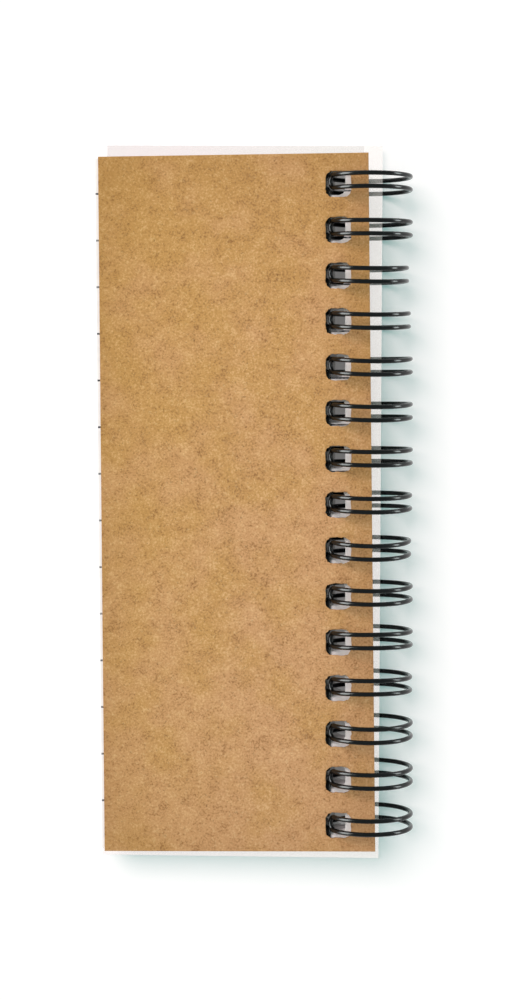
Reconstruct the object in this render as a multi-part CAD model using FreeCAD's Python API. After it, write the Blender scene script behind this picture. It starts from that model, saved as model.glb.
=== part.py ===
import FreeCAD, Part
import math
import os

from FreeCAD import Vector

# Slim twin-loop wire-bound notebook, lying face down with its card back cover up.
#
# Millimetres. The loops are circles about the binding axis, which runs along Y. The sheets lie to its left
# (-X) and the loops stand clear of them on the right (+X). Everything is laid out flat with the origin on the
# binding axis, then leaned and moved as one: the fore edge and the loops both touch z = 0, and the origin is
# at the middle of the notebook's outline.

# Wire binding: three teeth to the inch, each tooth a pair of round loops in one continuous wire
TOOTH_PITCH = 25.4 / 3
TOOTH_COUNT = 15
WIRE_DIAMETER = 0.85
LOOP_RADIUS = 7.9
TWIN_SPACING = 2.44

# The seam of each tooth: a bent base bar, and a hairpin tip that tucks inside it
BASE_ANGLE = 165.5
BASE_BEND_RADIUS = 0.9
END_STUB_LENGTH = 1.2
CURL_START_ANGLE = 120.0
CURL_END_ANGLE = 151.0
CURL_RADIUS = 6.6

# The wire repeats 15 times over, so its section and bends are drawn with few flat faces
WIRE_SIDES = 8
LOOP_CHORDS = 18
CURL_CHORDS = 2
HAIRPIN_CHORDS = 6
BEND_CHORDS = 2

# Punched holes: rounded squares
HOLE_WIDTH = 4.7
HOLE_HEIGHT = 4.8
HOLE_CORNER_RADIUS = 1.3
HOLE_CORNER_CHORDS = 2

# Kraft card back cover
BACK_COVER_WIDTH = 50.0
BACK_COVER_LENGTH = 129.0
BACK_COVER_THICKNESS = 0.5
BACK_COVER_SKEW = 0.55
BACK_HOLE_X = -5.6
BACK_HOLE_OFFSET_Y = -0.35
BACK_HOLE_TO_EDGE = 6.3

# Ruled pages, as one block whose sheets step aside a little as they follow the loops
PAGE_WIDTH = 48.7
PAGE_LENGTH = 128.2
PAGE_SKEW = 0.6
PAGE_HOLE_X = -6.7
PAGE_HOLE_TO_EDGE = 5.2
PAGE_STEP_ASIDE = 1.5

# Frosted front cover, the largest sheet, at the bottom
FRONT_COVER_WIDTH = 52.4
FRONT_COVER_LENGTH = 135.0
FRONT_COVER_THICKNESS = 0.3
FRONT_COVER_SKEW = -0.35
FRONT_HOLE_X = -3.75
FRONT_HOLE_TO_EDGE = 6.25
FRONT_COVER_OFFSET_Y = -0.35

# Room between the sheets, and between a sheet and the wire
SHEET_CLEARANCE = 0.05
WIRE_CLEARANCE = 0.1
FORE_EDGE_CLEARANCE = 0.15

ALONG_Y = Vector(0, 1, 0)
WIRE_RADIUS = WIRE_DIAMETER / 2

# The flat-sided section keeps the round wire's area, so its corners stand out a little
SECTION_RADIUS = WIRE_RADIUS * math.sqrt(2 * math.pi / (WIRE_SIDES * math.sin(2 * math.pi / WIRE_SIDES)))


def flat_face(corners):
    """Flat face bounded by straight edges through its corners."""
    return Part.Face(Part.makePolygon(list(corners) + [corners[0]]))


def around_axis(radius, degrees, y=0.0):
    """Point at a radius and angle about the binding axis; 0 degrees is +X and 90 is +Z."""
    angle = math.radians(degrees)
    return Vector(radius * math.cos(angle), y, radius * math.sin(angle))


def loop_tangent(degrees):
    """Direction along a loop as its angle grows."""
    return around_axis(1.0, degrees + 90)


def tooth_positions():
    """Middle of each tooth along the binding axis, from +Y to -Y."""
    first = TOOTH_PITCH * (TOOTH_COUNT - 1) / 2
    return [first - TOOTH_PITCH * tooth for tooth in range(TOOTH_COUNT)]


class RoundWire:
    """A round wire drawn along its own path: straight runs and arcs, each starting where the last ended."""

    def __init__(self, start, heading, across):
        self.position = Vector(start)
        self.heading = Vector(heading)
        first_corner = self.position + across * SECTION_RADIUS
        self.section = []
        for side in range(WIRE_SIDES):
            spin = FreeCAD.Rotation(self.heading, 360 * side / WIRE_SIDES)
            self.section.append(self.position + spin.multVec(first_corner - self.position))
        self.faces = [flat_face(self.section)]

    def advance(self, section):
        """Wall between the last section and the next one."""
        for side in range(WIRE_SIDES):
            after = (side + 1) % WIRE_SIDES
            self.faces.append(
                flat_face([self.section[side], self.section[after], section[after], section[side]]))
        self.section = section

    def run(self, length):
        """Draw straight ahead."""
        step = self.heading * length
        self.advance([corner + step for corner in self.section])
        self.position = self.position + step

    def turn(self, centre, axis, degrees, chords):
        """Draw an arc about an axis through a centre, as short chords."""
        rotation = FreeCAD.Rotation(axis, degrees / chords)
        for chord in range(chords):
            self.advance([centre + rotation.multVec(corner - centre) for corner in self.section])
            self.position = centre + rotation.multVec(self.position - centre)
            self.heading = rotation.multVec(self.heading)

    def bend_towards(self, direction, radius, chords, degrees=90.0):
        """Draw an arc of a given radius that turns the heading towards a direction square to it."""
        centre = self.position + direction * radius
        self.turn(centre, self.heading.cross(direction), degrees, chords)

    def solid(self):
        """Close the far end and return the solid."""
        shell = Part.Shell(self.faces + [flat_face(self.section)])
        shell.sewShape()
        solid = Part.Solid(Part.Shell(shell.Faces))
        if solid.Volume < 0:
            solid.reverse()
        return solid


def base_bar_point(y):
    """Where the base bars run: behind the foot of each loop by the bend between them."""
    foot = around_axis(LOOP_RADIUS, BASE_ANGLE, y)
    return foot - loop_tangent(BASE_ANGLE) * BASE_BEND_RADIUS


def draw_tooth(wire):
    """Draw one tooth: a loop up to its curled end, the hairpin tip, and the second loop back."""
    curl_centre = around_axis(LOOP_RADIUS - CURL_RADIUS, CURL_START_ANGLE)
    loop_sweep = 360 + CURL_START_ANGLE - BASE_ANGLE
    curl_sweep = CURL_END_ANGLE - CURL_START_ANGLE
    wire.bend_towards(loop_tangent(BASE_ANGLE), BASE_BEND_RADIUS, BEND_CHORDS)
    wire.turn(Vector(0, wire.position.y, 0), -ALONG_Y, loop_sweep, LOOP_CHORDS)
    wire.turn(curl_centre, -ALONG_Y, curl_sweep, CURL_CHORDS)
    wire.bend_towards(-ALONG_Y, TWIN_SPACING / 2, HAIRPIN_CHORDS, 180.0)
    wire.turn(curl_centre, ALONG_Y, curl_sweep, CURL_CHORDS)
    wire.turn(Vector(0, wire.position.y, 0), ALONG_Y, loop_sweep, LOOP_CHORDS)
    wire.bend_towards(-ALONG_Y, BASE_BEND_RADIUS, BEND_CHORDS)


def make_twin_loop_wire():
    """One wire from end to end: a stub, then tooth after tooth joined by base bars."""
    bar_length = TOOTH_PITCH - TWIN_SPACING - 2 * BASE_BEND_RADIUS
    first_foot = tooth_positions()[0] + TWIN_SPACING / 2 + BASE_BEND_RADIUS
    wire = RoundWire(base_bar_point(first_foot + END_STUB_LENGTH), -ALONG_Y, loop_tangent(BASE_ANGLE))
    wire.run(END_STUB_LENGTH)
    for tooth in range(TOOTH_COUNT):
        draw_tooth(wire)
        wire.run(bar_length if tooth < TOOTH_COUNT - 1 else END_STUB_LENGTH)
    return wire.solid()


def punched_hole(centre):
    """Flat face of one hole: a square whose corners are rounded by a few chords each, in the XY plane."""
    corners = []
    for quarter, (sign_x, sign_y) in enumerate([(1, 1), (-1, 1), (-1, -1), (1, -1)]):
        corner_x = centre.x + sign_x * (HOLE_WIDTH / 2 - HOLE_CORNER_RADIUS)
        corner_y = centre.y + sign_y * (HOLE_HEIGHT / 2 - HOLE_CORNER_RADIUS)
        for chord in range(HOLE_CORNER_CHORDS + 1):
            angle = math.radians(90 * (quarter + chord / HOLE_CORNER_CHORDS))
            reach = Vector(math.cos(angle), math.sin(angle), 0) * HOLE_CORNER_RADIUS
            corners.append(Vector(corner_x, corner_y, 0) + reach)
    return flat_face(corners)


def punched_sheet(width, length, skew, hole_x, hole_to_edge, offset_y=0.0, hole_offset_y=0.0):
    """Flat face of a sheet in the XY plane: trimmed a little askew to its straight row of holes."""
    middle = Vector(hole_x + hole_to_edge - width / 2, offset_y, 0)
    outline = Part.makePlane(width, length, Vector(middle.x - width / 2, middle.y - length / 2, 0))
    outline.rotate(middle, Vector(0, 0, 1), skew)
    holes = []
    for y in tooth_positions():
        holes.append(punched_hole(Vector(hole_x, y + hole_offset_y, 0)))
    return outline.cut(holes).Faces[0]


def front_cover_height():
    """Underside of the front cover: as low as its spine edge can lie on the curve of the loops."""
    half_length = FRONT_COVER_LENGTH / 2 * abs(math.sin(math.radians(FRONT_COVER_SKEW)))
    reach = FRONT_HOLE_X + FRONT_HOLE_TO_EDGE + half_length
    inner_radius = LOOP_RADIUS - WIRE_RADIUS - WIRE_CLEARANCE
    return -math.sqrt(inner_radius ** 2 - reach ** 2)


def page_block_heights():
    """Underside and top of the page block: on the front cover, and just under the base bars."""
    underside = front_cover_height() + FRONT_COVER_THICKNESS + SHEET_CLEARANCE
    top = base_bar_point(0).z - WIRE_RADIUS - WIRE_CLEARANCE
    return underside, top


def make_front_cover():
    """Thin translucent sheet under the pages."""
    sheet = punched_sheet(
        FRONT_COVER_WIDTH, FRONT_COVER_LENGTH, FRONT_COVER_SKEW, FRONT_HOLE_X, FRONT_HOLE_TO_EDGE,
        FRONT_COVER_OFFSET_Y)
    sheet.translate(Vector(0, 0, front_cover_height()))
    return sheet.extrude(Vector(0, 0, FRONT_COVER_THICKNESS))


def make_page_block():
    """All the pages: one punched sheet drawn upwards, each sheet a little further left than the one below."""
    underside, top = page_block_heights()
    sheet = punched_sheet(PAGE_WIDTH, PAGE_LENGTH, PAGE_SKEW, PAGE_HOLE_X, PAGE_HOLE_TO_EDGE)
    sheet.translate(Vector(PAGE_STEP_ASIDE, 0, underside))
    return sheet.extrude(Vector(-PAGE_STEP_ASIDE, 0, top - underside))


def make_back_cover():
    """Card cover over the pages: it rests on the base bars and slopes down to the pages' fore edge."""
    bar = base_bar_point(0)
    underside_at_bar = bar.z + WIRE_RADIUS + WIRE_CLEARANCE
    fore_edge_x = BACK_HOLE_X + BACK_HOLE_TO_EDGE - BACK_COVER_WIDTH
    drop = underside_at_bar - page_block_heights()[1] - FORE_EDGE_CLEARANCE
    slope = math.degrees(math.atan2(drop, bar.x - fore_edge_x))
    sheet = punched_sheet(
        BACK_COVER_WIDTH, BACK_COVER_LENGTH, BACK_COVER_SKEW, BACK_HOLE_X, BACK_HOLE_TO_EDGE,
        0.0, BACK_HOLE_OFFSET_Y)
    sheet.translate(Vector(0, 0, underside_at_bar))
    cover = sheet.extrude(Vector(0, 0, BACK_COVER_THICKNESS))
    cover.rotate(Vector(bar.x, 0, underside_at_bar), ALONG_Y, -slope)
    return cover


def set_down(parts):
    """Lean the notebook until its fore edge meets the table beside the loops, and centre its outline."""
    fore_edge_x = FRONT_HOLE_X + FRONT_HOLE_TO_EDGE - FRONT_COVER_WIDTH
    loop_bottom = LOOP_RADIUS + WIRE_RADIUS
    fore_edge_radius = math.hypot(fore_edge_x, front_cover_height())
    angle_now = math.asin(-front_cover_height() / fore_edge_radius)
    angle_down = math.asin(loop_bottom / fore_edge_radius)
    lean = math.degrees(angle_down - angle_now)
    for shape in parts.values():
        shape.rotate(Vector(0, 0, 0), ALONG_Y, -lean)
    box = Part.makeCompound(list(parts.values())).optimalBoundingBox()
    for shape in parts.values():
        shape.translate(Vector(-box.Center.x, -box.Center.y, -box.ZMin))


def main():
    parts = {
        "back_cover": make_back_cover(),
        "page_block": make_page_block(),
        "front_cover": make_front_cover(),
        "twin_loop_wire": make_twin_loop_wire(),
    }
    set_down(parts)
    os.makedirs("parts", exist_ok=True)
    for name, shape in parts.items():
        shape.exportStep(f"parts/{name}.step")
        print(name, round(shape.Volume, 2), shape.isValid(), len(shape.Solids), shape.BoundBox)


main()
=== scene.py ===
import logging
import math
from dataclasses import dataclass
from enum import Enum
from functools import partial
from typing import Any, Callable, Optional, Sequence, Union

import bpy
import numpy as np
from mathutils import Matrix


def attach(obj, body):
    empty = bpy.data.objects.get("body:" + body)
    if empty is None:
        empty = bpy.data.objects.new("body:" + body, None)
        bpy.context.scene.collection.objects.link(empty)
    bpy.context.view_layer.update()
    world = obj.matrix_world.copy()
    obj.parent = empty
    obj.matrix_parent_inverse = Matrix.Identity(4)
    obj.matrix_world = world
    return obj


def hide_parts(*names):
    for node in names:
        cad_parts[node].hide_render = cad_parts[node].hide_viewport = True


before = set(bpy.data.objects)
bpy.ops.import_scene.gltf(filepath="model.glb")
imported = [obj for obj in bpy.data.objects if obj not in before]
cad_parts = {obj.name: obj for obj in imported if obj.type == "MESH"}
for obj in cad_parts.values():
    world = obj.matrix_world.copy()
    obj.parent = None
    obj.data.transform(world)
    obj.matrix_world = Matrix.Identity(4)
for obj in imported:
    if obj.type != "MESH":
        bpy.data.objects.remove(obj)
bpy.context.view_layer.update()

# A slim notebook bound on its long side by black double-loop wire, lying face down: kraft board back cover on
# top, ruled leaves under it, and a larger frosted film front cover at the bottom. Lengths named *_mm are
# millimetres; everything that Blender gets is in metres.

log = logging.getLogger("notebook")

MM = 0.001
SAME_MM = 1e-5
WHITE = "#FFFFFF"

# A ramp takes a pattern from its first two values to its last two
Ramp = tuple[float, float, float, float]

# Rings along a wire: points, headings and outward directions, a row each
Rings = tuple[np.ndarray, np.ndarray, np.ndarray]

Socket = bpy.types.NodeSocket
AddNode = Callable[..., Any]


class Smoothing(Enum):
    """Whether a piece's faces are shaded as one curved skin or as separate flats."""

    FLAT = "flat"
    ROUND = "round"


# Colours, nodes and meshes


def linear(hex_colour: str, alpha: float = 1.0) -> tuple[float, float, float, float]:
    """Turns an sRGB hex colour into the linear values that shaders take.

    Args:
        hex_colour: the colour as "#RRGGBB".
        alpha: the fourth value.

    Returns:
        Linear red, green and blue, and alpha.
    """
    channels = [int(hex_colour[i : i + 2], 16) / 255 for i in (1, 3, 5)]
    values = [c / 12.92 if c <= 0.04045 else ((c + 0.055) / 1.055) ** 2.4 for c in channels]
    return values[0], values[1], values[2], alpha


def add_node(
    tree: bpy.types.NodeTree, kind: str, inputs: Any, output: Union[int, str] = 0, **settings: Any
) -> Optional[Socket]:
    """Adds one node with its settings, its values and its links.

    Args:
        tree: the node tree that it goes in.
        kind: the node's type name, without "ShaderNode".
        inputs: the inputs in their order, or by name or number; an output socket is linked, not set.
        output: name or number of the output that the next node takes.
        settings: attributes to set on the node.

    Returns:
        That output, or None from a node that has none.
    """
    node = tree.nodes.new("ShaderNode" + kind)
    for key, value in settings.items():
        setattr(node, key, value)
    for key, value in inputs.items() if isinstance(inputs, dict) else enumerate(inputs):
        if isinstance(value, Socket):
            tree.links.new(value, node.inputs[key])
        else:
            node.inputs[key].default_value = value
    return node.outputs[output] if node.outputs else None


def new_material(name: str) -> tuple[bpy.types.Material, AddNode]:
    """Makes an empty node material.

    Args:
        name: what the material is and how it was made.

    Returns:
        The material, and add_node bound to its node tree.
    """
    material = bpy.data.materials.new(name)
    material.use_nodes = True
    material.node_tree.nodes.clear()
    return material, partial(add_node, material.node_tree)


def new_piece(
    name: str, vertices_mm: np.ndarray, faces: list[list[int]], look: Smoothing
) -> bpy.types.Object:
    """Puts a worked-out surface into the scene as a mesh object at the origin.

    Args:
        name: the piece's name.
        vertices_mm: one row of x, y and z for each vertex, in the shared frame, in millimetres.
        faces: vertex numbers of each face, anticlockwise seen from outside.
        look: flat or round shading.

    Returns:
        The new object.
    """
    mesh = bpy.data.meshes.new(name)
    mesh.from_pydata((vertices_mm * MM).tolist(), [], faces)
    mesh.polygons.foreach_set("use_smooth", np.full(len(faces), look is Smoothing.ROUND))
    mesh.update()
    piece = bpy.data.objects.new(name, mesh)
    bpy.context.scene.collection.objects.link(piece)
    return piece


def dress(piece: bpy.types.Object, material: bpy.types.Material) -> None:
    """Gives a piece one material on all its faces.

    Args:
        piece: the piece.
        material: its finish.
    """
    if piece.material_slots:
        for slot in piece.material_slots:
            slot.material = material
    else:
        piece.data.materials.append(material)


# Where the binding lies


@dataclass(frozen=True)
class BindingAxis:
    """The line through the middle of the loops, and how the whole notebook leans about it."""

    x_mm: float = 21.2845
    y_mm: float = 0.35
    z_mm: float = 8.3424
    lean_deg: float = 1.78308

    def tilted(self, points: np.ndarray, pivot: tuple[float, float], degrees: float) -> np.ndarray:
        """Turns points about a line along Y, so that what lies at -X sinks.

        x' = x cos - z sin and z' = x sin + z cos, both measured from the pivot.

        Args:
            points: rows of x, y and z.
            pivot: x and z of the line.
            degrees: how far.

        Returns:
            The turned points.
        """
        angle = math.radians(degrees)
        x, z = points[..., 0] - pivot[0], points[..., 2] - pivot[1]
        turned_x = pivot[0] + x * math.cos(angle) - z * math.sin(angle)
        turned_z = pivot[1] + x * math.sin(angle) + z * math.cos(angle)
        return np.stack([turned_x, points[..., 1], turned_z], axis=-1)

    def set_down(self, points: np.ndarray) -> np.ndarray:
        """Leans points laid out flat about the binding axis, and moves them to where the notebook lies."""
        return self.tilted(points, (0.0, 0.0), self.lean_deg) + np.array([self.x_mm, self.y_mm, self.z_mm])


# Punched sheets


@dataclass(frozen=True)
class PunchedHoles:
    """The row of rounded square holes that every sheet shares."""

    pitch_mm: float = 25.4 / 3
    count: int = 15
    width_mm: float = 4.7
    height_mm: float = 4.8
    corner_mm: float = 1.3

    def centres(self) -> np.ndarray:
        """Middle of each hole along the binding, from -Y to +Y."""
        return (np.arange(self.count) - (self.count - 1) / 2) * self.pitch_mm

    def nearest(self, y: np.ndarray, offset_mm: float) -> np.ndarray:
        """Middle of the hole that is nearest to each row of a grid, as a column."""
        centres = self.centres() + offset_mm
        return centres[np.abs(y[:, :1] - centres).argmin(axis=1)][:, None]

    def past_sides(self, u: np.ndarray, v: np.ndarray) -> np.ndarray:
        """How far points lie past the sides of a hole's plain rectangle: 0 on them and less inside."""
        return np.maximum(np.abs(u) - self.width_mm / 2, np.abs(v) - self.height_mm / 2)

    def lines(self, half: float, straight: int, round_steps: int, rims: Sequence[float]) -> np.ndarray:
        """Grid lines across one hole, and outside it at each rim distance.

        Args:
            half: half the hole's size in this direction.
            straight: cells along the straight part of its side.
            round_steps: cells along each corner.
            rims: distances outside the hole, growing.

        Returns:
            Positions from the hole's middle, growing.
        """
        flat = half - self.corner_mm
        corner = flat + self.corner_mm * np.arange(1, round_steps + 1) / round_steps
        one_side = np.concatenate([corner, half + np.array(rims)])
        return np.concatenate([-one_side[::-1], np.linspace(-flat, flat, straight + 1), one_side])

    def rounded(self, u: np.ndarray, v: np.ndarray) -> tuple[np.ndarray, np.ndarray]:
        """Moves points on the sides of the plain rectangle onto the rounded one.

        Along each corner, the distance past the straight part becomes an angle: 0 to 45 degrees on the
        upright side and 90 to 45 on the level one, and the point goes to that angle on the corner's arc.

        Args:
            u: distances from the hole's middle across the sheet.
            v: distances from its middle along the binding.

        Returns:
            The same two distances for the rounded hole.
        """
        flat_u = self.width_mm / 2 - self.corner_mm
        flat_v = self.height_mm / 2 - self.corner_mm
        past_u = np.clip((np.abs(u) - flat_u) / self.corner_mm, 0, 1)
        past_v = np.clip((np.abs(v) - flat_v) / self.corner_mm, 0, 1)
        at_corner = (past_u > 0) & (past_v > 0)
        angle = np.radians(np.where(past_u >= past_v, 45 * past_v, 90 - 45 * past_u))
        new_u = np.sign(u) * (flat_u + self.corner_mm * np.cos(angle))
        new_v = np.sign(v) * (flat_v + self.corner_mm * np.sin(angle))
        return np.where(at_corner, new_u, u), np.where(at_corner, new_v, v)


@dataclass(frozen=True)
class SheetCut:
    """One sheet's cut, laid flat with the binding axis at the origin."""

    width_mm: float
    length_mm: float
    skew_deg: float
    hole_x_mm: float
    hole_to_edge_mm: float
    offset_y_mm: float = 0.0
    hole_offset_y_mm: float = 0.0
    fade_mm: float = 1.0

    def middle(self) -> tuple[float, float]:
        """Middle of the sheet's outline."""
        return self.hole_x_mm + self.hole_to_edge_mm - self.width_mm / 2, self.offset_y_mm

    def sides(self) -> tuple[float, float]:
        """Where its left and right sides lie before the skew."""
        return self.middle()[0] - self.width_mm / 2, self.middle()[0] + self.width_mm / 2


@dataclass
class SheetGrid:
    """A punched sheet as a grid whose cells over the holes are left open."""

    x: np.ndarray
    y: np.ndarray
    keep: np.ndarray
    rim: np.ndarray

    @staticmethod
    def over(
        cut: SheetCut,
        holes: PunchedHoles,
        straight: int,
        round_steps: int,
        rims: Sequence[float] = (),
        margins: Sequence[float] = (),
        across: int = 1,
    ) -> "SheetGrid":
        """Lays a grid over a sheet.

        Lines run at the hole's own sides and corners, at each rim distance outside it, and at each margin
        distance inside the sheet's edge.

        Args:
            cut: the sheet's cut.
            holes: the row of holes.
            straight: cells along the straight part of a hole's side.
            round_steps: cells along each of its corners.
            rims: distances outside the hole with a line each.
            margins: distances inside the sheet's edge with a line each.
            across: cells over the wide plain part of the sheet.

        Returns:
            The grid, with its border turned by the sheet's skew.
        """
        left, right = cut.sides()
        low, high = cut.offset_y_mm - cut.length_mm / 2, cut.offset_y_mm + cut.length_mm / 2
        edge = np.array([0.0, *margins])
        row = cut.hole_x_mm + holes.lines(holes.width_mm / 2, straight, round_steps, rims)
        plain = np.linspace(left + edge[-1], row[0], across + 1)[1:-1]
        centres = holes.centres()[:, None] + cut.hole_offset_y_mm
        rows = centres + holes.lines(holes.height_mm / 2, straight, round_steps, rims)
        x, y = np.meshgrid(
            np.concatenate([left + edge, plain, row, right - edge[::-1]]),
            np.concatenate([low + edge, rows.ravel(), high - edge[::-1]]),
        )

        # A cell whose middle lies over a hole is left open, and the corners of the hole are rounded
        cell_x, cell_y = (x[:-1, :-1] + x[1:, 1:]) / 2, (y[:-1, :-1] + y[1:, 1:]) / 2
        cell_v = cell_y - holes.nearest(cell_y, cut.hole_offset_y_mm)
        keep = holes.past_sides(cell_x - cut.hole_x_mm, cell_v) > 0
        nearest = holes.nearest(y, cut.hole_offset_y_mm)
        u, v = x - cut.hole_x_mm, y - nearest
        rim = np.abs(holes.past_sides(u, v)) < SAME_MM
        new_u, new_v = holes.rounded(u, v)
        x = np.where(rim, cut.hole_x_mm + new_u, x)
        y = np.where(rim, nearest + new_v, y)
        reach = np.abs(centres[-1]) + holes.height_mm / 2
        return SheetGrid(x, y, keep, rim).skewed(cut, (row[0], row[-1]), float(reach[0]))

    def skewed(self, cut: SheetCut, row_x: tuple[float, float], row_y: float) -> "SheetGrid":
        """Turns the border by the sheet's skew, so that the holes stay in their straight row.

        Each point goes a share of the way to its turned place: the whole way at the border, and none beside
        the row of holes.

        Args:
            cut: the sheet's cut.
            row_x: where the row of holes begins and ends across the sheet.
            row_y: how far it reaches along the binding.

        Returns:
            The turned grid.
        """
        middle_x, middle_y = cut.middle()
        left, right = cut.sides()
        skew = math.radians(cut.skew_deg)
        u, v = self.x - middle_x, self.y - middle_y
        turned_x = middle_x + u * math.cos(skew) - v * math.sin(skew)
        turned_y = middle_y + u * math.sin(skew) + v * math.cos(skew)
        to_left = np.clip((row_x[0] - self.x) / (row_x[0] - left), 0, 1)
        to_right = np.clip((self.x - row_x[1]) / (right - row_x[1]), 0, 1)
        to_ends = np.clip((np.abs(v) - row_y) / cut.fade_mm, 0, 1)
        x = self.x + (turned_x - self.x) * np.maximum(to_left, to_right)
        y = self.y + (turned_y - self.y) * to_ends
        return SheetGrid(x, y, self.keep, self.rim)

    def walls_and_faces(self) -> np.ndarray:
        """Quads of the closed plate between two copies of the grid.

        The first copy is the underside and the second the top. Each kept cell gives one quad above and one
        below; wherever a kept cell has no kept neighbour, a wall joins the two copies along that side.

        Returns:
            One row of four vertex numbers for each quad, anticlockwise seen from outside.
        """
        number = np.arange(self.x.size).reshape(self.x.shape)
        lift = number.size
        a, b = number[:-1, :-1], number[:-1, 1:]
        c, d = number[1:, 1:], number[1:, :-1]
        padded = np.pad(self.keep, 1)
        quads = [
            np.stack([a, b, c, d], axis=-1)[self.keep] + lift,
            np.stack([d, c, b, a], axis=-1)[self.keep],
        ]
        neighbours = [
            (a, b, padded[:-2, 1:-1]),
            (b, c, padded[1:-1, 2:]),
            (c, d, padded[2:, 1:-1]),
            (d, a, padded[1:-1, :-2]),
        ]
        for start, end, beyond in neighbours:
            wall = np.stack([end + lift, start + lift, start, end], axis=-1)
            quads.append(wall[self.keep & ~beyond])
        return np.concatenate(quads)


def only_used(vertices: np.ndarray, quads: np.ndarray) -> tuple[np.ndarray, np.ndarray]:
    """Drops the vertices that no face uses.

    Args:
        vertices: all vertices, in the last axis but one.
        quads: vertex numbers of each face.

    Returns:
        The used vertices and the faces renumbered to them.
    """
    used, renumbered = np.unique(quads, return_inverse=True)
    return vertices[..., used, :], renumbered.reshape(quads.shape)


# Finishes


SMOOTH = {"interpolation_type": "SMOOTHSTEP"}
COLOURS = {"data_type": "RGBA"}
TINTED = {"data_type": "RGBA", "blend_type": "MULTIPLY"}
MIXED = 2


def centred(add: AddNode, middle_mm: tuple[float, float, float], turned_deg: float) -> Socket:
    """Centres Object coordinates on a piece and turns them to it.

    Args:
        add: add_node bound to the material's tree.
        middle_mm: the piece's middle.
        turned_deg: the piece's turn about Z.

    Returns:
        The coordinates.
    """
    place = add("TexCoord", (), "Object")
    location = tuple(v * MM for v in middle_mm)
    rotation = (0.0, 0.0, math.radians(turned_deg))
    return add("Mapping", (place, location, rotation), vector_type="TEXTURE")


def mixed(amount: Any, first: Any, second: Any) -> dict[int, Any]:
    """Values that mix two colours, by input number: the share of the second, then both."""
    return {0: amount, 6: first, 7: second}


def per_m(size_mm: float) -> float:
    """Scale at which a noise's lumps are this wide, on coordinates in metres."""
    return 1.0 / (size_mm * MM)


@dataclass(frozen=True)
class Finish:
    """What the finishes share: the shader's own values, and how far their relief stands up."""

    name: str
    ior: float
    specular: float
    relief: float
    relief_mm: float

    def surface(self, add: AddNode, colour: Socket, roughness: Any, height: Socket, **more: Any) -> None:
        """Ends a material with one shader: its colour, its roughness and its relief.

        Args:
            add: add_node bound to the material's tree.
            colour: its colour.
            roughness: its roughness.
            height: what stands up, from 0 to 1.
            more: other values of the shader.
        """
        bump = add("Bump", {"Strength": self.relief, "Distance": self.relief_mm * MM, "Height": height})
        values = {
            "Base Color": colour,
            "Roughness": roughness,
            "IOR": self.ior,
            "Specular IOR Level": self.specular,
            "Normal": bump,
        }
        shader = add("BsdfPrincipled", values | more)
        add("OutputMaterial", {"Surface": shader})


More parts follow.
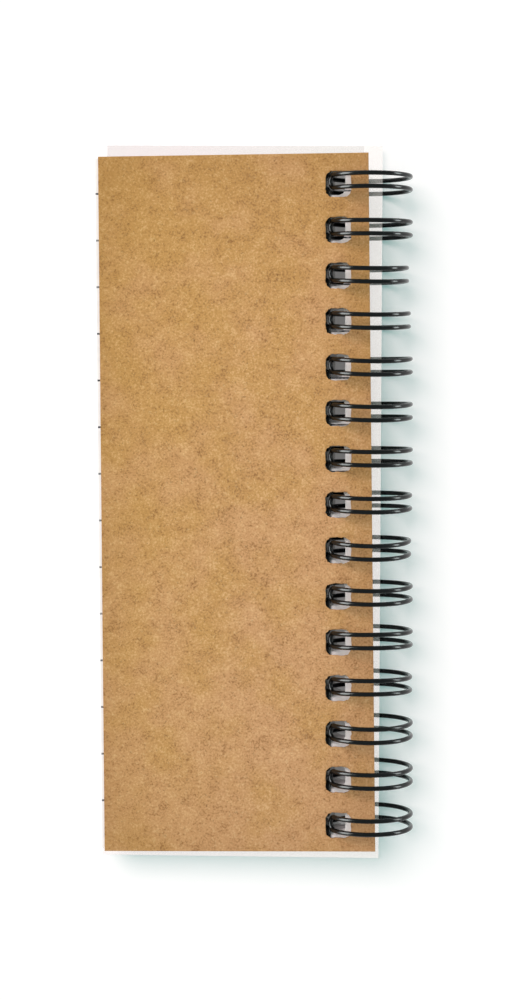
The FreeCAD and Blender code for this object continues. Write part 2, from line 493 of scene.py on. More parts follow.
@dataclass(frozen=True)
class KraftBoard(Finish):
    """Unbleached kraft board, machine-made from brown pulp and left uncoated.

    Pulping leaves fibres of many shades in it. The eye sees a warm tan of fine grain with soft clouds that
    lean to rose or olive, small dark specks of bark and short pale fibres, quite matt.
    """

    name: str = "kraft board, uncoated"
    tan: str = "#C99A66"
    pale: str = "#E3B887"
    dark: str = "#9C7046"
    olive: str = "#C39554"
    rose: str = "#CF9D74"
    bark: str = "#5E4126"
    straw: str = "#F0D3A2"
    edge_brown: str = "#8C6238"
    head_tint: str = "#FFFEF4"
    foot_tint: str = "#FBFCFA"
    fore_edge_tint: str = "#FCFCEF"
    roughness: float = 0.92
    ior: float = 1.45
    specular: float = 0.2
    relief: float = 0.3
    relief_mm: float = 0.05
    grain_mm: float = 0.38
    cloud_mm: float = 2.6
    tint_mm: float = 11.0
    speck_mm: float = 0.38
    fibre_mm: float = 0.8
    break_mm: float = 0.64
    grain_share: float = 0.66
    grain_relief: float = 0.7
    tan_share: float = 0.5
    foot_rosier: float = 0.10
    rosy_ramp: Ramp = (0.34, 0.66, 0.0, 1.0)
    light_ramp: Ramp = (0.5, 0.68, 0.0, 0.9)
    deep_ramp: Ramp = (0.33, 0.5, 1.0, 0.0)
    speck_ramp: Ramp = (0.74, 0.84, 0.0, 0.42)
    fibre_ramp: Ramp = (0.01, 0.05, 1.0, 0.0)
    break_ramp: Ramp = (0.54, 0.62, 0.0, 0.26)
    edge_ramp: Ramp = (0.0, 1.4, 0.0, 0.28)
    edge_powers: tuple[float, float] = (4.0, 5.0)
    fore_edge_tint_to: float = 0.4
    aside_m: tuple[float, float, float] = (0.31, 0.17, 0.05)
    middle_mm: tuple[float, float, float] = (-3.1, 0.35, 10.8)
    half_mm: tuple[float, float] = (25.1, 64.6)
    skew_deg: float = 0.55

    def pulp(self, add: AddNode, where: Socket, aside: Socket, y: Socket, grain: Socket) -> Socket:
        """Colours the board as its pulp does, before any fleck.

        Args:
            add: add_node bound to the material's tree.
            where: coordinates on the board.
            aside: the same, moved, for patterns that mustn't follow those on where.
            y: distance along the board.
            grain: the fine grain.

        Returns:
            The colour.
        """
        # Soft clouds lean to olive or rose, and rose gains towards the foot
        tint = add("TexNoise", {"Vector": where, "Scale": per_m(self.tint_mm), "Detail": 3.0})
        rosy = add("Math", (y, -self.foot_rosier / (self.half_mm[1] * MM), tint), operation="MULTIPLY_ADD")
        rosy = add("MapRange", (rosy, *self.rosy_ramp), **SMOOTH)
        base = add("Mix", mixed(rosy, linear(self.olive), linear(self.rose)), MIXED, **COLOURS)
        base = add("Mix", mixed(self.tan_share, base, linear(self.tan)), MIXED, **COLOURS)

        # Grain of about two fibre widths, and clouds of felted fibre, lighten and darken it
        felt = {"Vector": aside, "Scale": per_m(self.cloud_mm), "Detail": 3.0, "Roughness": 0.6}
        shade = add("Math", (add("TexNoise", felt), 1 - self.grain_share), operation="MULTIPLY")
        shade = add("Math", (grain, self.grain_share, shade), operation="MULTIPLY_ADD")
        light = add("MapRange", (shade, *self.light_ramp), **SMOOTH)
        colour = add("Mix", mixed(light, base, linear(self.pale)), MIXED, **COLOURS)
        deep = add("MapRange", (shade, *self.deep_ramp), **SMOOTH)
        return add("Mix", mixed(deep, colour, linear(self.dark)), MIXED, **COLOURS)

    def fibres(self, add: AddNode, where: Socket, aside: Socket) -> Socket:
        """Strength of the short pale fibres: the middle line of a warped noise, broken up by another.

        Args:
            add: add_node bound to the material's tree.
            where: coordinates on the board.
            aside: the same, moved.

        Returns:
            The strength.
        """
        warped = {"Vector": where, "Scale": per_m(self.fibre_mm), "Detail": 1.0, "Distortion": 1.4}
        line = add("Math", (add("TexNoise", warped), 0.5), operation="SUBTRACT")
        line = add("Math", (line,), operation="ABSOLUTE")
        line = add("MapRange", (line, *self.fibre_ramp), **SMOOTH)
        broken = add("TexNoise", {"Vector": aside, "Scale": per_m(self.break_mm), "Detail": 1.0})
        broken = add("MapRange", (broken, *self.break_ramp), **SMOOTH)
        return add("Math", (line, broken), operation="MULTIPLY")

    def tinted_to_edges_and_ends(self, add: AddNode, x: Socket, y: Socket, colour: Socket) -> Socket:
        """Tints the board's colour towards its edges, its head and its fore edge.

        Args:
            add: add_node bound to the material's tree.
            x: distance across the board.
            y: distance along it.
            colour: the board's colour before these tints.

        Returns:
            The aged colour.
        """
        # It darkens and browns towards its edges: powers of the distance from the middle, both ways
        out = []
        for distance, half_mm, power in zip((x, y), self.half_mm, self.edge_powers):
            far = add("Math", (distance, 1 / (half_mm * MM)), operation="MULTIPLY")
            out.append(add("Math", (add("Math", (far,), operation="ABSOLUTE"), power), operation="POWER"))
        edge = add("MapRange", (add("Math", out, operation="ADD"), *self.edge_ramp))
        colour = add("Mix", mixed(edge, colour, linear(self.edge_brown)), MIXED, **COLOURS)

        # It is a little yellower towards the head and greyer towards the foot
        half_x, half_y = (half_mm * MM for half_mm in self.half_mm)
        along = add("MapRange", (y, -half_y, half_y), **SMOOTH)
        end_tinted = add("Mix", mixed(along, linear(self.foot_tint), linear(self.head_tint)), MIXED, **COLOURS)
        colour = add("Mix", mixed(1.0, colour, end_tinted), MIXED, **TINTED)

        # It is yellower at the fore edge, fading towards the middle
        across = add("MapRange", (x, -half_x, self.fore_edge_tint_to * half_x), **SMOOTH)
        fore_edge_tinted = add("Mix", mixed(across, linear(self.fore_edge_tint), linear(WHITE)), MIXED, **COLOURS)
        return add("Mix", mixed(1.0, colour, fore_edge_tinted), MIXED, **TINTED)

    def make(self) -> bpy.types.Material:
        """Builds the material.

        Returns:
            The material.
        """
        material, add = new_material(self.name)
        where = centred(add, self.middle_mm, self.skew_deg)
        aside = add("VectorMath", (where, self.aside_m), operation="ADD")
        x, y = add("SeparateXYZ", (where,), "X"), add("SeparateXYZ", (where,), "Y")
        fine = {"Vector": where, "Scale": per_m(self.grain_mm), "Detail": 3.0, "Roughness": 0.65}
        grain = add("TexNoise", fine)
        colour = self.pulp(add, where, aside, y, grain)

        # Bark specks: the narrow tops of a fine noise, drawn as coarse as they need to show
        specks = add("TexNoise", {"Vector": aside, "Scale": per_m(self.speck_mm), "Detail": 0.0})
        specks = add("MapRange", (specks, *self.speck_ramp), **SMOOTH)
        colour = add("Mix", mixed(specks, colour, linear(self.bark)), MIXED, **COLOURS)
        fibres = self.fibres(add, where, aside)
        colour = add("Mix", mixed(fibres, colour, linear(self.straw)), MIXED, **COLOURS)

        height = add("Math", (grain, self.grain_relief, fibres), operation="MULTIPLY_ADD")
        self.surface(add, self.tinted_to_edges_and_ends(add, x, y, colour), self.roughness, height)
        return material


@dataclass(frozen=True)
class RuledPaper(Finish):
    """Bright wood-free writing paper, offset-ruled in grey and trimmed as a block.

    The ruling bleeds off the fore edge, where the knife leaves each line's end as a small dark tick. The eye
    sees an almost white, matt sheet with a trace of formation.
    """

    name: str = "wood-free paper, ruled and trimmed"
    white: str = "#F9F9F7"
    shade: str = "#EDECEA"
    ink: str = "#3C4147"
    roughness: float = 0.85
    ior: float = 1.45
    specular: float = 0.18
    relief: float = 0.2
    relief_mm: float = 0.02
    rule_pitch_mm: float = 8.68
    rule_width_mm: float = 0.34
    rule_blur: float = 0.25
    first_rule_mm: float = 57.85
    last_rule_mm: float = -55.2
    past_last: float = 0.3
    wobble_mm: float = 0.6
    wobble_ramp: Ramp = (0.3, 0.6, 0.7, 1.0)
    formation_mm: float = 1.6
    formation_ramp: Ramp = (0.35, 0.7, 0.0, 0.5)
    tooth_mm: float = 0.25
    middle_mm: tuple[float, float, float] = (-3.7, 0.35, 5.5)
    skew_deg: float = 0.6

    def rules(self, add: AddNode, where: Socket) -> Socket:
        """Strength of the ruled lines.

        Distance along Y to the nearest multiple of the pitch, kept between the first line and the last with
        past_last of a pitch to spare.

        Args:
            add: add_node bound to the material's tree.
            where: coordinates on the block.

        Returns:
            The strength.
        """
        first = (self.first_rule_mm - self.middle_mm[1]) * MM
        turns = add("Math", (add("SeparateXYZ", (where,), "Y"), first), operation="SUBTRACT")
        turns = add("Math", (turns, 1 / (self.rule_pitch_mm * MM)), operation="MULTIPLY")
        off = add("Math", (turns, add("Math", (turns,), operation="ROUND")), operation="SUBTRACT")
        off = add("Math", (off,), operation="ABSOLUTE")
        half = self.rule_width_mm / self.rule_pitch_mm / 2
        wobble = add("TexNoise", {"Vector": where, "Scale": per_m(self.wobble_mm), "Detail": 1.0})
        wobble = add("MapRange", (wobble, *self.wobble_ramp), **SMOOTH)
        sharp, blurred = half * (1 - self.rule_blur), half * (1 + self.rule_blur)
        line = add("MapRange", (off, sharp, blurred, wobble, 0.0), **SMOOTH)
        below_first = add("Math", (turns, self.past_last), operation="LESS_THAN")
        last = (self.last_rule_mm - self.first_rule_mm) / self.rule_pitch_mm
        above_last = add("Math", (turns, last - self.past_last), operation="GREATER_THAN")
        within = add("Math", (below_first, above_last), operation="MULTIPLY")
        return add("Math", (line, within), operation="MULTIPLY")

    def make(self) -> bpy.types.Material:
        """Builds the material.

        Returns:
            The material.
        """
        material, add = new_material(self.name)
        where = centred(add, self.middle_mm, self.skew_deg)
        cloud = add("TexNoise", {"Vector": where, "Scale": per_m(self.formation_mm), "Detail": 2.0})
        cloud = add("MapRange", (cloud, *self.formation_ramp), **SMOOTH)
        paper = add("Mix", mixed(cloud, linear(self.white), linear(self.shade)), MIXED, **COLOURS)
        colour = add("Mix", mixed(self.rules(add, where), paper, linear(self.ink)), MIXED, **COLOURS)
        tooth = add("TexNoise", {"Vector": where, "Scale": per_m(self.tooth_mm), "Detail": 1.0})
        self.surface(add, colour, self.roughness, tooth)
        return material


@dataclass(frozen=True)
class FrostedFilm(Finish):
    """Polypropylene film, extruded and pressed against a matt roller.

    Polypropylene is milky and the roller leaves a fine frost. The eye sees a pale, soft sheet that greys what
    lies close behind it without blurring it much.
    """

    name: str = "polypropylene film, frosted"
    milk: str = "#F4EFEC"
    rose: str = "#F9E9EA"
    green: str = "#EFEFE8"
    roughness: float = 0.5
    ior: float = 1.49
    specular: float = 0.4
    alpha: float = 0.25
    relief: float = 0.12
    relief_mm: float = 0.01
    frost_mm: float = 0.3
    streak_mm: float = 9.0
    streak_ramp: Ramp = (0.35, 0.65, 0.0, 0.5)
    middle_mm: tuple[float, float, float] = (-2.2, 0.0, 1.0)
    half_width_mm: float = 26.5
    skew_deg: float = -0.35

    def make(self) -> bpy.types.Material:
        """Builds the material.

        Returns:
            The material.
        """
        material, add = new_material(self.name)
        where = centred(add, self.middle_mm, self.skew_deg)
        half = self.half_width_mm * MM
        across = add("MapRange", (add("SeparateXYZ", (where,), "X"), -half, half), **SMOOTH)
        sheet = add("Mix", mixed(across, linear(self.rose), linear(self.green)), MIXED, **COLOURS)
        streaks = add("TexNoise", {"Vector": where, "Scale": per_m(self.streak_mm), "Detail": 2.0})
        streaks = add("MapRange", (streaks, *self.streak_ramp), **SMOOTH)
        sheet = add("Mix", mixed(streaks, sheet, linear(self.milk)), MIXED, **COLOURS)
        frost = add("TexNoise", {"Vector": where, "Scale": per_m(self.frost_mm), "Detail": 1.0})
        self.surface(add, sheet, self.roughness, frost, Alpha=self.alpha)
        return material


@dataclass(frozen=True)
class CoatedWire(Finish):
    """Steel wire, drawn and given a black nylon coat.

    The coat flows smooth before it sets, so the eye sees a deep gloss black with long soft highlights.
    """

    name: str = "steel wire, black nylon coated"
    black: str = "#040506"
    worn: str = "#0B0D0E"
    ior: float = 1.5
    specular: float = 0.28
    relief: float = 0.15
    relief_mm: float = 0.02
    ripple_mm: float = 0.9
    mark_mm: float = 2.2
    worn_ramp: Ramp = (0.45, 0.75, 0.0, 1.0)
    rough_ramp: Ramp = (0.35, 0.7, 0.12, 0.22)

    def make(self) -> bpy.types.Material:
        """Builds the material.

        Returns:
            The material.
        """
        material, add = new_material(self.name)
        where = add("TexCoord", (), "Object")
        marks = add("TexNoise", {"Vector": where, "Scale": per_m(self.mark_mm), "Detail": 3.0})
        worn = add("MapRange", (marks, *self.worn_ramp), **SMOOTH)
        colour = add("Mix", mixed(worn, linear(self.black), linear(self.worn)), MIXED, **COLOURS)
        rough = add("MapRange", (marks, *self.rough_ramp), **SMOOTH)
        ripple = add("TexNoise", {"Vector": where, "Scale": per_m(self.ripple_mm), "Detail": 1.0})
        self.surface(add, colour, rough, ripple)
        return material


# The notebook's sub-assemblies


@dataclass
class TwinLoopBinding:
    """One continuous wire, closed into 15 double loops with their hairpin tips tucked inside the base bars.

    Each tooth, from the head, has its own slackness: its loops stray along the binding at the top by
    stray_mm, and fall short on the right by short_mm.
    """

    axis: BindingAxis
    holes: PunchedHoles
    wire_mm: float = 0.85
    loop_radius_mm: float = 7.9
    twin_mm: float = 2.44
    base_deg: float = 165.5
    base_bend_mm: float = 0.9
    stub_mm: float = 1.2
    curl_start_deg: float = 120.0
    curl_end_deg: float = 151.0
    curl_radius_mm: float = 6.6
    sides: int = 16
    loop_cells: int = 60
    curl_cells: int = 6
    hairpin_cells: int = 12
    bend_cells: int = 5
    stray_peak_deg: float = 80.0
    stray_power: float = 1.5
    short_power: float = 2.0
    stray_mm: tuple[float, ...] = (
        0.0, -0.21, -0.55, -0.55, -0.6, -0.5, -0.27, -0.37, -0.55, -0.29, 0.22, 0.25, -0.16, -0.04, 0.0,
    )
    short_mm: tuple[float, ...] = (
        0.0, 0.0, 0.7, 0.35, 0.0, 0.0, 0.0, 0.1, 0.3, 0.0, 0.0, 0.12, 0.0, 0.0, 0.0,
    )

    def around(self, degrees: Union[float, np.ndarray]) -> np.ndarray:
        """Unit vectors out from the binding axis: (cos, 0, sin)."""
        angle = np.radians(degrees)
        return np.stack([np.cos(angle), np.zeros_like(angle), np.sin(angle)], axis=-1)

    def arc(self, centre: np.ndarray, radius: float, start: float, end: float, y: float, cells: int) -> Rings:
        """One arc in the plane of a loop: centre + radius (cos, 0, sin), heading along its own tangent.

        Args:
            centre: the arc's centre.
            radius: its radius.
            start: angle where it starts, in degrees.
            end: angle where it ends.
            y: place along the binding.
            cells: rings along it.

        Returns:
            Its rings, without the starting one.
        """
        degrees = np.linspace(start, end, cells + 1)[1:]
        out = self.around(degrees)
        points = centre + radius * out + np.array([0.0, y, 0.0])
        return points, self.around(degrees + 90) * math.copysign(1.0, end - start), out

    def flat_bend(
        self,
        point: np.ndarray,
        heading: np.ndarray,
        towards: np.ndarray,
        out: np.ndarray,
        radius: float,
        sweep: float,
        cells: int,
    ) -> Rings:
        """An arc that leaves a point along a heading and turns towards a direction square to it.

        Place = point + radius (sin t · heading + (1 - cos t) · towards).

        Args:
            point: where it starts.
            heading: unit direction there.
            towards: unit direction that it turns to.
            out: unit direction square to both.
            radius: its radius.
            sweep: how far it turns, in degrees.
            cells: rings along it.

        Returns:
            Its rings, without the starting one.
        """
        t = np.radians(np.linspace(0, sweep, cells + 1)[1:])[:, None]
        points = point + radius * (np.sin(t) * heading + (1 - np.cos(t)) * towards)
        headings = np.cos(t) * heading + np.sin(t) * towards
        return points, headings, np.broadcast_to(out, points.shape)

    def tooth(self) -> Rings:
        """Draws one tooth, from the end of one base bar to the start of the next.

        A bend leads from the bar up into the first loop, whose end curls in. The hairpin turns there, and the
        second loop comes back the same way to the next bar.

        Returns:
            Its rings.
        """
        middle = np.zeros(3)
        along = np.array([0.0, 1.0, 0.0])
        half, bend = self.twin_mm / 2, self.base_bend_mm
        curl_start, curl_end = self.curl_start_deg, self.curl_end_deg
        base_out, base_along = self.around(self.base_deg), self.around(self.base_deg + 90)
        curl_middle = self.around(curl_start) * (self.loop_radius_mm - self.curl_radius_mm)
        foot = base_out * self.loop_radius_mm
        start = foot - base_along * bend + along * (half + bend)
        tip_out = self.around(curl_end)
        tip = curl_middle + self.curl_radius_mm * tip_out + along * half
        tip_heading = self.around(curl_end + 90)
        top = 360.0 + curl_start
        runs = [
            (start[None], -along[None], base_out[None]),
            self.flat_bend(start, -along, base_along, base_out, bend, 90.0, self.bend_cells),
            self.arc(middle, self.loop_radius_mm, self.base_deg, top, half, self.loop_cells),
            self.arc(curl_middle, self.curl_radius_mm, curl_start, curl_end, half, self.curl_cells),
            self.flat_bend(tip, tip_heading, -along, tip_out, half, 180.0, self.hairpin_cells),
            self.arc(curl_middle, self.curl_radius_mm, curl_end, curl_start, -half, self.curl_cells),
            self.arc(middle, self.loop_radius_mm, top, self.base_deg, -half, self.loop_cells),
            self.flat_bend(foot - along * half, -base_along, -along, base_out, bend, 90.0, self.bend_cells),
        ]
        points, headings, outs = (np.concatenate([run[i] for run in runs]) for i in range(3))
        return points, headings, outs

    def path(self) -> Rings:
        """Draws the whole wire, laid flat about the binding axis, with each tooth's own slackness.

        A tooth's loops stray along the binding by a hump that is highest at the top of the loop and nothing
        at the sheets, and fall short on the right by a hump that is highest there.

        Returns:
            Its rings.
        """
        points, headings, outs = self.tooth()
        degrees = np.degrees(np.arctan2(points[:, 2], points[:, 0]))
        top_hump = np.clip(np.cos(np.radians(degrees - self.stray_peak_deg)), 0, 1) ** self.stray_power
        right_hump = np.clip(np.cos(np.radians(degrees)), 0, 1) ** self.short_power
        teeth = np.repeat(points[None], self.holes.count, axis=0)
        teeth[..., 1] += self.holes.centres()[::-1][:, None] + np.array(self.stray_mm)[:, None] * top_hump
        teeth[..., 0] -= np.array(self.short_mm)[:, None] * right_hump

        # A straight stub runs on from the first base bar's end and from the last one's
        points = teeth.reshape(-1, 3)
        stub = np.array([0.0, self.stub_mm, 0.0])
        points = np.concatenate([points[:1] + stub, points, points[-1:] - stub])
        headings, outs = (np.tile(rows, (self.holes.count, 1)) for rows in (headings, outs))
        headings, outs = (np.concatenate([rows[:1], rows, rows[-1:]]) for rows in (headings, outs))
        return points, headings, outs

    def build(self) -> bpy.types.Object:
        """Carries a round section along the path: ring + radius (cos a · out + sin a · across).

        Returns:
            The wire as one closed piece, riding on the bound pages.
        """
        points, headings, outs = self.path()
        across = np.cross(headings, outs)
        a = np.linspace(0, 2 * math.pi, self.sides, endpoint=False)[None, :, None]
        skin = points[:, None] + self.wire_mm / 2 * (np.cos(a) * outs[:, None] + np.sin(a) * across[:, None])
        number = np.arange(len(points) * self.sides).reshape(-1, self.sides)
        after = np.roll(number, -1, axis=1)
        quads = np.stack([number[:-1], after[:-1], after[1:], number[1:]], axis=-1).reshape(-1, 4)
        faces = quads.tolist() + [number[0][::-1].tolist(), number[-1].tolist()]
        wire = new_piece("twin_loop_binding", self.axis.set_down(skin.reshape(-1, 3)), faces, Smoothing.ROUND)
        curved = np.arange(len(faces)) < len(quads)
        wire.data.polygons.foreach_set("use_smooth", curved)
        dress(wire, CoatedWire().make())
        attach(wire, "bound_pages")
        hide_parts("twin_loop_wire")
        log.info("twin_loop_binding: %d rings, %d faces", len(points), len(faces))
        return wire


@dataclass
class LeafBlock:
    """The ruled leaves, each a thin punched sheet that lies a little out of line with the next."""

    axis: BindingAxis
    holes: PunchedHoles
    cut: SheetCut = SheetCut(
        width_mm=48.7, length_mm=128.2, skew_deg=0.6, hole_x_mm=-6.7, hole_to_edge_mm=5.2
    )
    leaves: int = 72
    underside_mm: float = -6.4256
    top_mm: float = 2.3243
    step_aside_mm: float = 1.5
    stray_mm: float = 0.07
    gap_mm: float = 0.012
    seed: int = 11

    def build(self) -> bpy.types.Object:
        """Stacks the leaves: each is the punched grid, moved left with its height and by its own small stray.

        Returns:
            All the leaves as one piece, riding on the bound pages.
        """
        grid = SheetGrid.over(self.cut, self.holes, straight=2, round_steps=1)
        level = np.linspace(self.underside_mm, self.top_mm, self.leaves + 1)
        rng = np.random.default_rng(self.seed)
        stray_x = rng.uniform(0.0, 2 * self.stray_mm, self.leaves)
        stray_y = rng.normal(0.0, self.stray_mm, self.leaves).clip(-2 * self.stray_mm, 2 * self.stray_mm)

        # The upper leaves stray right and the lower ones left, so that none passes the block's slanted sides
        part = (level[:-1] - self.underside_mm) / (self.top_mm - self.underside_mm)
        shift = self.step_aside_mm * (1 - part) + stray_x * np.where(part > 0.5, 1.0, -1.0)
        x = grid.x.ravel()[None, :] + shift[:, None]
        y = grid.y.ravel()[None, :] + stray_y[:, None]
        under = np.broadcast_to(level[:-1, None], x.shape)
        over = np.broadcast_to(level[1:, None] - self.gap_mm, x.shape)
        sheets = np.concatenate([np.stack([x, y, z], axis=-1) for z in (under, over)], axis=1)
        sheets, quads = only_used(sheets, grid.walls_and_faces())
        first = np.arange(self.leaves)[:, None, None] * sheets.shape[1]
        faces = (quads[None] + first).reshape(-1, 4)
        vertices = self.axis.set_down(sheets.reshape(-1, 3))
        block = new_piece("leaf_block", vertices, faces.tolist(), Smoothing.FLAT)
        dress(block, RuledPaper().make())
        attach(block, "bound_pages")
        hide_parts("page_block")
        log.info("leaf_block: %d leaves, %d faces", self.leaves, len(faces))
        return block


@dataclass
class BackCover:
    """The kraft board cover on top, whose punched edges are pressed down and slightly furred.

    The board slopes by slope_deg about the line at pivot_mm, where it rests on the wire's base bars.
    """

    axis: BindingAxis
    holes: PunchedHoles
    cut: SheetCut = SheetCut(
        width_mm=50.2,
        length_mm=129.0,
        skew_deg=0.55,
        hole_x_mm=-5.6,
        hole_to_edge_mm=6.2,
        offset_y_mm=-0.15,
        hole_offset_y_mm=-0.45,
    )
    thickness_mm: float = 0.5
    pivot_mm: tuple[float, float] = (-7.4230, 3.3743)
    slope_deg: float = 1.23118
    pressed_mm: float = 0.09
    border_pressed_mm: float = 0.045
    border_raised_mm: float = 0.027
    fur_mm: float = 0.05
    seed: int = 5

    def build(self) -> bpy.types.Object:
        """Presses the grid's rims and border down a little and furs the hole's outline.

        Top height = thickness less the press at a rim or border line. Each rim point moves by its own small
        stray, so that the hole's outline is slightly ragged.

        Returns:
            The cover as one closed piece, riding on its own body.
        """
        grid = SheetGrid.over(
            self.cut, self.holes, straight=4, round_steps=4, rims=(0.16, 0.5), margins=(0.1, 0.35), across=14
        )
        rng = np.random.default_rng(self.seed)
        fur = rng.normal(0.0, self.fur_mm, (2, *grid.x.shape)).clip(-2 * self.fur_mm, 2 * self.fur_mm)
        x, y = grid.x + fur[0] * grid.rim, grid.y + fur[1] * grid.rim
        border = np.ones(x.shape, dtype=bool)
        border[1:-1, 1:-1] = False
        low = self.border_raised_mm * border + self.pivot_mm[1]
        pressed = self.pressed_mm * grid.rim + self.border_pressed_mm * border
        top = self.thickness_mm - pressed + self.pivot_mm[1]
        flat = np.concatenate([np.stack([x, y, z], axis=-1).reshape(-1, 3) for z in (low, top)])
        vertices, quads = only_used(flat, grid.walls_and_faces())
        sloped = self.axis.tilted(vertices, self.pivot_mm, self.slope_deg)
        cover = new_piece("kraft_cover", self.axis.set_down(sloped), quads.tolist(), Smoothing.FLAT)
        dress(cover, KraftBoard().make())
        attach(cover, "back_cover")
        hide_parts("back_cover")
        log.info("kraft_cover: %d faces", len(quads))
        return cover


@dataclass
class FrontCover:
    """The frosted film at the bottom, which keeps its solid's shape and gets its finish."""

    node: str = "front_cover"

    def build(self) -> bpy.types.Object:
        """Dresses the film's own solid.

        Returns:
            The film.
        """
        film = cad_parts[self.node]
        dress(film, FrostedFilm().make())
        log.info("%s: dressed", self.node)
        return film


# Floor, light and camera


class Reach(Enum):
    """What a lamp lights: matt surfaces, or mirror-like ones, which show its shape."""

    MATT = "matt"
    GLOSS = "gloss"


@dataclass(frozen=True)
class Panel:
    """A soft light panel that faces the notebook, for the wire to mirror.

    It stands off_vertical_deg away from straight above, azimuth_deg anticlockwise from +X, and looks as
    bright as radiance, where 1 is white.
    """

    name: str
    off_vertical_deg: float
    azimuth_deg: float
    size_m: tuple[float, float]
    radiance: float
    tint: str
    distance_m: float = 0.7


@dataclass
class Studio:
    """A plain white floor and soft light from the photograph's upper left."""

    floor_half_m: float = 20.0
    floor_colour: str = "#E8E8E8"
    seen_colour: str = "#FFF0F0"
    cool_glow: str = "#407875"
    # Painted light: a glow on the floor where it is seen through the film, and under the row of holes
    painted_light_colour: str = "#FAF6F4"
    painted_light_share: float = 0.94
    painted_light_head: float = 0.95
    painted_light_lee: float = 1.24
    film_middle_mm: tuple[float, float, float] = (-2.2, 0.0, 0.0)
    film_half_mm: tuple[float, float] = (26.2, 67.5)
    film_skew_deg: float = -0.35
    film_margin_mm: tuple[float, float] = (21.65, 64.0)
    card_skew_deg: float = 0.58
    hole_row_mm: float = 11.0
    painted_hole_light: float = 0.15
    backdrop_radius_m: float = 19.0
    backdrop_height_m: float = 7.0
    backdrop_sides: int = 96
    world_colour: str = "#ECFFFD"
    world_strength: float = 0.50
    key_colour: str = "#FFEFF1"
    key_energy: float = 2.12
    key_width_deg: float = 36.0
    key_tilt_deg: float = 30.5
    key_turn_deg: float = 126.0
    panels: tuple[Panel, ...] = (
        Panel("left panel", 67.0, 172.0, (0.9, 0.4), 14.0, "#FBFFFD"),
        Panel("right panel", 80.0, 8.0, (0.6, 0.2), 12.0, "#F4FFFE"),
    )
    camera_m: tuple[float, float, float] = (0.00064, 0.02129, 0.387)
    sensor_mm: float = 36.0
    lens_mm: float = 73.1
    shift_up: float = -0.111
    clip_m: tuple[float, float] = (0.01, 100.0)

    def seen(self, add: AddNode) -> Socket:
        """Tells where a ray comes from: 1 for the camera's own, and for those in gloss or glass.

        Args:
            add: add_node bound to the material's tree.

        Returns:
            That value.
        """
        path = add("LightPath", ()).node.outputs
        gloss = add("Math", (path["Is Glossy Ray"], path["Is Transmission Ray"]), operation="MAXIMUM")
        return add("Math", (path["Is Camera Ray"], gloss), operation="MAXIMUM")

    def shaded_paper(self, add: AddNode, seen: Socket) -> Socket:
        """White paper that takes the notebook's shadow.

        Outside the film's outline it has a faint cool glow, which tints the shadow and is lost in the white.

        Args:
            add: add_node bound to the floor's tree.
            seen: whether the floor is seen, directly or by reflection.

        Returns:
            The shader.
        """
        turned = centred(add, self.film_middle_mm, self.film_skew_deg)
        outside = []
        for axis, half_mm in zip("XY", self.film_half_mm):
            far = add("Math", (add("SeparateXYZ", (turned,), axis),), operation="ABSOLUTE")
            outside.append(add("Math", (far, half_mm * MM), operation="GREATER_THAN"))
        beyond = add("Math", outside, operation="MAXIMUM")
        beyond = add("Math", (beyond, seen), operation="MULTIPLY")
        plain, seen_colour = linear(self.floor_colour), linear(self.seen_colour)
        matt = add("BsdfDiffuse", {"Color": add("Mix", mixed(beyond, plain, seen_colour), MIXED, **COLOURS)})
        cool = add("Emission", {"Color": linear(self.cool_glow), "Strength": beyond})
        return add("AddShader", (matt, cool))

    def painted_floor_light(self, add: AddNode, x: Socket, y: Socket, seen: Socket) -> tuple[Socket, Socket]:
        """Painted light on the floor beneath the frosted film: a glow that stands in for light that the film
        scatters there.

        Behind the film's margins, beyond the pages on the right and at both ends, the floor glows with this
        painted light where it is seen through the film, so that it looks as good as unshaded. Under the row
        of holes it keeps part of that painted light.

        Args:
            add: add_node bound to the floor's tree.
            x: place across the floor.
            y: place along it.
            seen: whether the floor is seen, directly or by reflection.

        Returns:
            The painted light's share of the floor, and its glow shader.
        """
        right_mm, end_mm = self.film_margin_mm
        right = add("Math", (y, math.tan(math.radians(self.card_skew_deg)), x), operation="MULTIPLY_ADD")
        right = add("Math", (right, right_mm * MM), operation="GREATER_THAN")
        ends = add("Math", (add("Math", (y,), operation="ABSOLUTE"), end_mm * MM), operation="GREATER_THAN")
        margin = add("Math", (right, ends), operation="MAXIMUM")
        through = add("Math", (add("LightPath", (), "Transparent Depth"), 0.5), operation="GREATER_THAN")
        through = add("Math", (through, self.painted_light_share), operation="MULTIPLY")
        behind = add("Math", (margin, through), operation="MULTIPLY")
        row = add("Math", (x, self.hole_row_mm * MM), operation="GREATER_THAN")
        row = add("Math", (row, margin), operation="SUBTRACT")
        row = add("Math", (row, self.painted_hole_light), operation="MULTIPLY")
        behind = add("Math", (behind, row), operation="MAXIMUM")
        behind = add("Math", (behind, seen), operation="MULTIPLY")

        # The painted light glows stronger on the side away from the lamp, and at the foot
        foot = add("Math", (y, -end_mm * MM), operation="LESS_THAN")
        lee = add("Math", (right, foot), operation="MAXIMUM")
        strength = add("MapRange", (lee, 0.0, 1.0, self.painted_light_head, self.painted_light_lee))
        glow = add("Emission", {"Color": linear(self.painted_light_colour), "Strength": strength})
        return behind, glow

    def floor(self) -> None:
        """Lays the floor: a flat square at the notebook's lowest point."""
        corners = np.array([(-1, -1, 0), (1, -1, 0), (1, 1, 0), (-1, 1, 0)]) * self.floor_half_m
        floor = new_piece("floor", corners / MM, [[0, 1, 2, 3]], Smoothing.FLAT)
        material, add = new_material("floor paper, white")
        seen = self.seen(add)
        place = add("TexCoord", (), "Object")
        x, y = add("SeparateXYZ", (place,), "X"), add("SeparateXYZ", (place,), "Y")
        # The floor glows with painted light where it is seen through the film and under the row of holes
        behind, glow = self.painted_floor_light(add, x, y, seen)
        surface = add("MixShader", (behind, self.shaded_paper(add, seen), glow))
        add("OutputMaterial", {"Surface": surface})
        dress(floor, material)

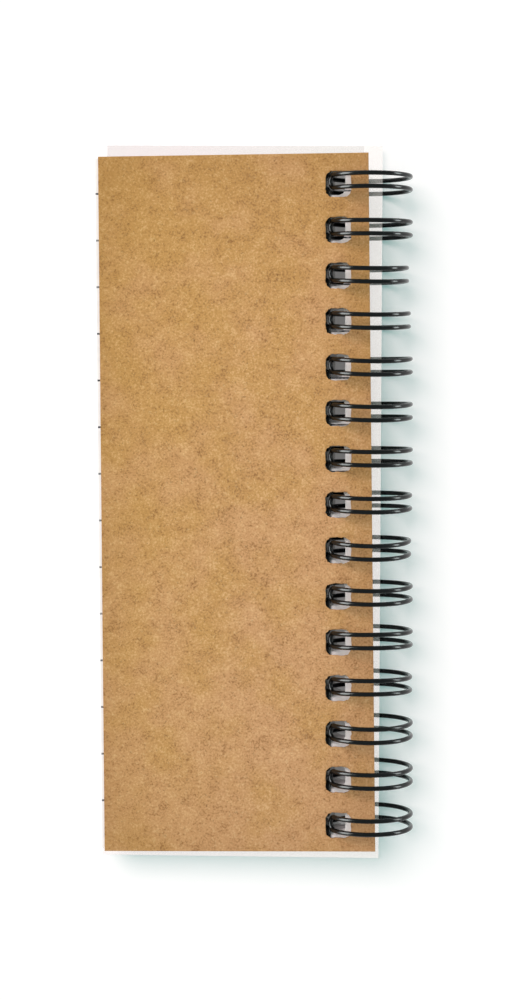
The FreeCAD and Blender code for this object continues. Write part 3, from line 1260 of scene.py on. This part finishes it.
    def backdrop(self) -> None:
        """Stands a white wall round the floor: radius (cos a, sin a) and height h.

        It is white where it is seen, directly or by reflection, and lets all other light through.
        """
        a = np.linspace(0, 2 * math.pi, self.backdrop_sides, endpoint=False)[:, None]
        height = np.array([0.0, self.backdrop_height_m])[None, :]
        ring = np.stack(np.broadcast_arrays(np.cos(a), np.sin(a), height), axis=-1)
        ring[..., :2] *= self.backdrop_radius_m
        number = np.arange(self.backdrop_sides * 2).reshape(-1, 2)
        after = np.roll(number, -1, axis=0)
        quads = np.stack([number[:, 0], number[:, 1], after[:, 1], after[:, 0]], axis=-1)
        wall = new_piece("backdrop", ring.reshape(-1, 3) / MM, quads.tolist(), Smoothing.FLAT)
        material, add = new_material("backdrop paper, white")
        white = add("Emission", {"Color": linear(WHITE), "Strength": 1.0})
        clear = add("BsdfTransparent", ())
        add("OutputMaterial", {"Surface": add("MixShader", (self.seen(add), clear, white))})
        dress(wall, material)

    def hang(self, name: str, light: bpy.types.Light, tint: str, reach: Reach) -> bpy.types.Object:
        """Hangs a lamp that the camera doesn't see.

        Args:
            name: its name.
            light: its light.
            tint: its colour.
            reach: whether it lights matt surfaces or shows in glossy ones.

        Returns:
            The lamp.
        """
        light.color = linear(tint)[:3]
        lamp = bpy.data.objects.new(name, light)
        lamp.visible_camera = False
        lamp.visible_glossy = reach is Reach.GLOSS
        lamp.visible_diffuse = reach is Reach.MATT
        bpy.context.scene.collection.objects.link(lamp)
        return lamp

    def stand(self, panel: Panel) -> None:
        """Stands one light panel where it belongs: power = pi · radiance · area.

        Args:
            panel: the panel.
        """
        light = bpy.data.lights.new(panel.name, "AREA")
        light.shape = "RECTANGLE"
        light.size, light.size_y = panel.size_m
        light.energy = math.pi * panel.radiance * panel.size_m[0] * panel.size_m[1]
        lamp = self.hang(panel.name, light, panel.tint, Reach.GLOSS)
        polar, turn = math.radians(panel.off_vertical_deg), math.radians(panel.azimuth_deg)
        out = (math.sin(polar) * math.cos(turn), math.sin(polar) * math.sin(turn), math.cos(polar))
        lamp.location = [panel.distance_m * part for part in out]
        lamp.rotation_euler = (-lamp.location).to_track_quat("-Z", "Y").to_euler()

    def light(self) -> None:
        """Sets the even surrounding light, the soft key and the panels that the wire mirrors."""
        world = bpy.data.worlds.new("soft surround")
        bpy.context.scene.world = world
        world.use_nodes = True
        world.node_tree.nodes.clear()
        add = partial(add_node, world.node_tree)
        sky = add("Background", {"Color": linear(self.world_colour), "Strength": self.world_strength})
        add("OutputWorld", {"Surface": sky})
        sun = bpy.data.lights.new("key", "SUN")
        sun.angle = math.radians(self.key_width_deg)
        sun.energy = self.key_energy
        key = self.hang("key", sun, self.key_colour, Reach.MATT)
        key.rotation_euler = (0.0, math.radians(self.key_tilt_deg), math.radians(self.key_turn_deg))
        for panel in self.panels:
            self.stand(panel)

    def camera(self) -> None:
        """Hangs the camera straight above, as in the photograph.

        The view is shifted down so that the camera's own foot stays at the photograph's (257.5, 389).
        """
        lens = bpy.data.cameras.new("camera")
        lens.sensor_width = self.sensor_mm
        lens.lens = self.lens_mm
        lens.shift_y = self.shift_up
        lens.clip_start, lens.clip_end = self.clip_m
        camera = bpy.data.objects.new("camera", lens)
        camera.location = self.camera_m
        bpy.context.scene.collection.objects.link(camera)
        bpy.context.scene.camera = camera

    def build(self) -> None:
        """Builds the camera, the floor, the backdrop and the light."""
        self.camera()
        self.floor()
        self.backdrop()
        self.light()
        bpy.context.scene.view_settings.view_transform = "Standard"
        log.info("studio: floor, backdrop, key and %d panels", len(self.panels))


def main() -> None:
    """Builds the studio and the notebook in order."""
    logging.basicConfig(level=logging.INFO, format="%(name)s %(message)s")
    Studio().build()
    axis, holes = BindingAxis(), PunchedHoles()
    FrontCover().build()
    LeafBlock(axis, holes).build()
    BackCover(axis, holes).build()
    TwinLoopBinding(axis, holes).build()


if __name__ == "__main__":
    main()
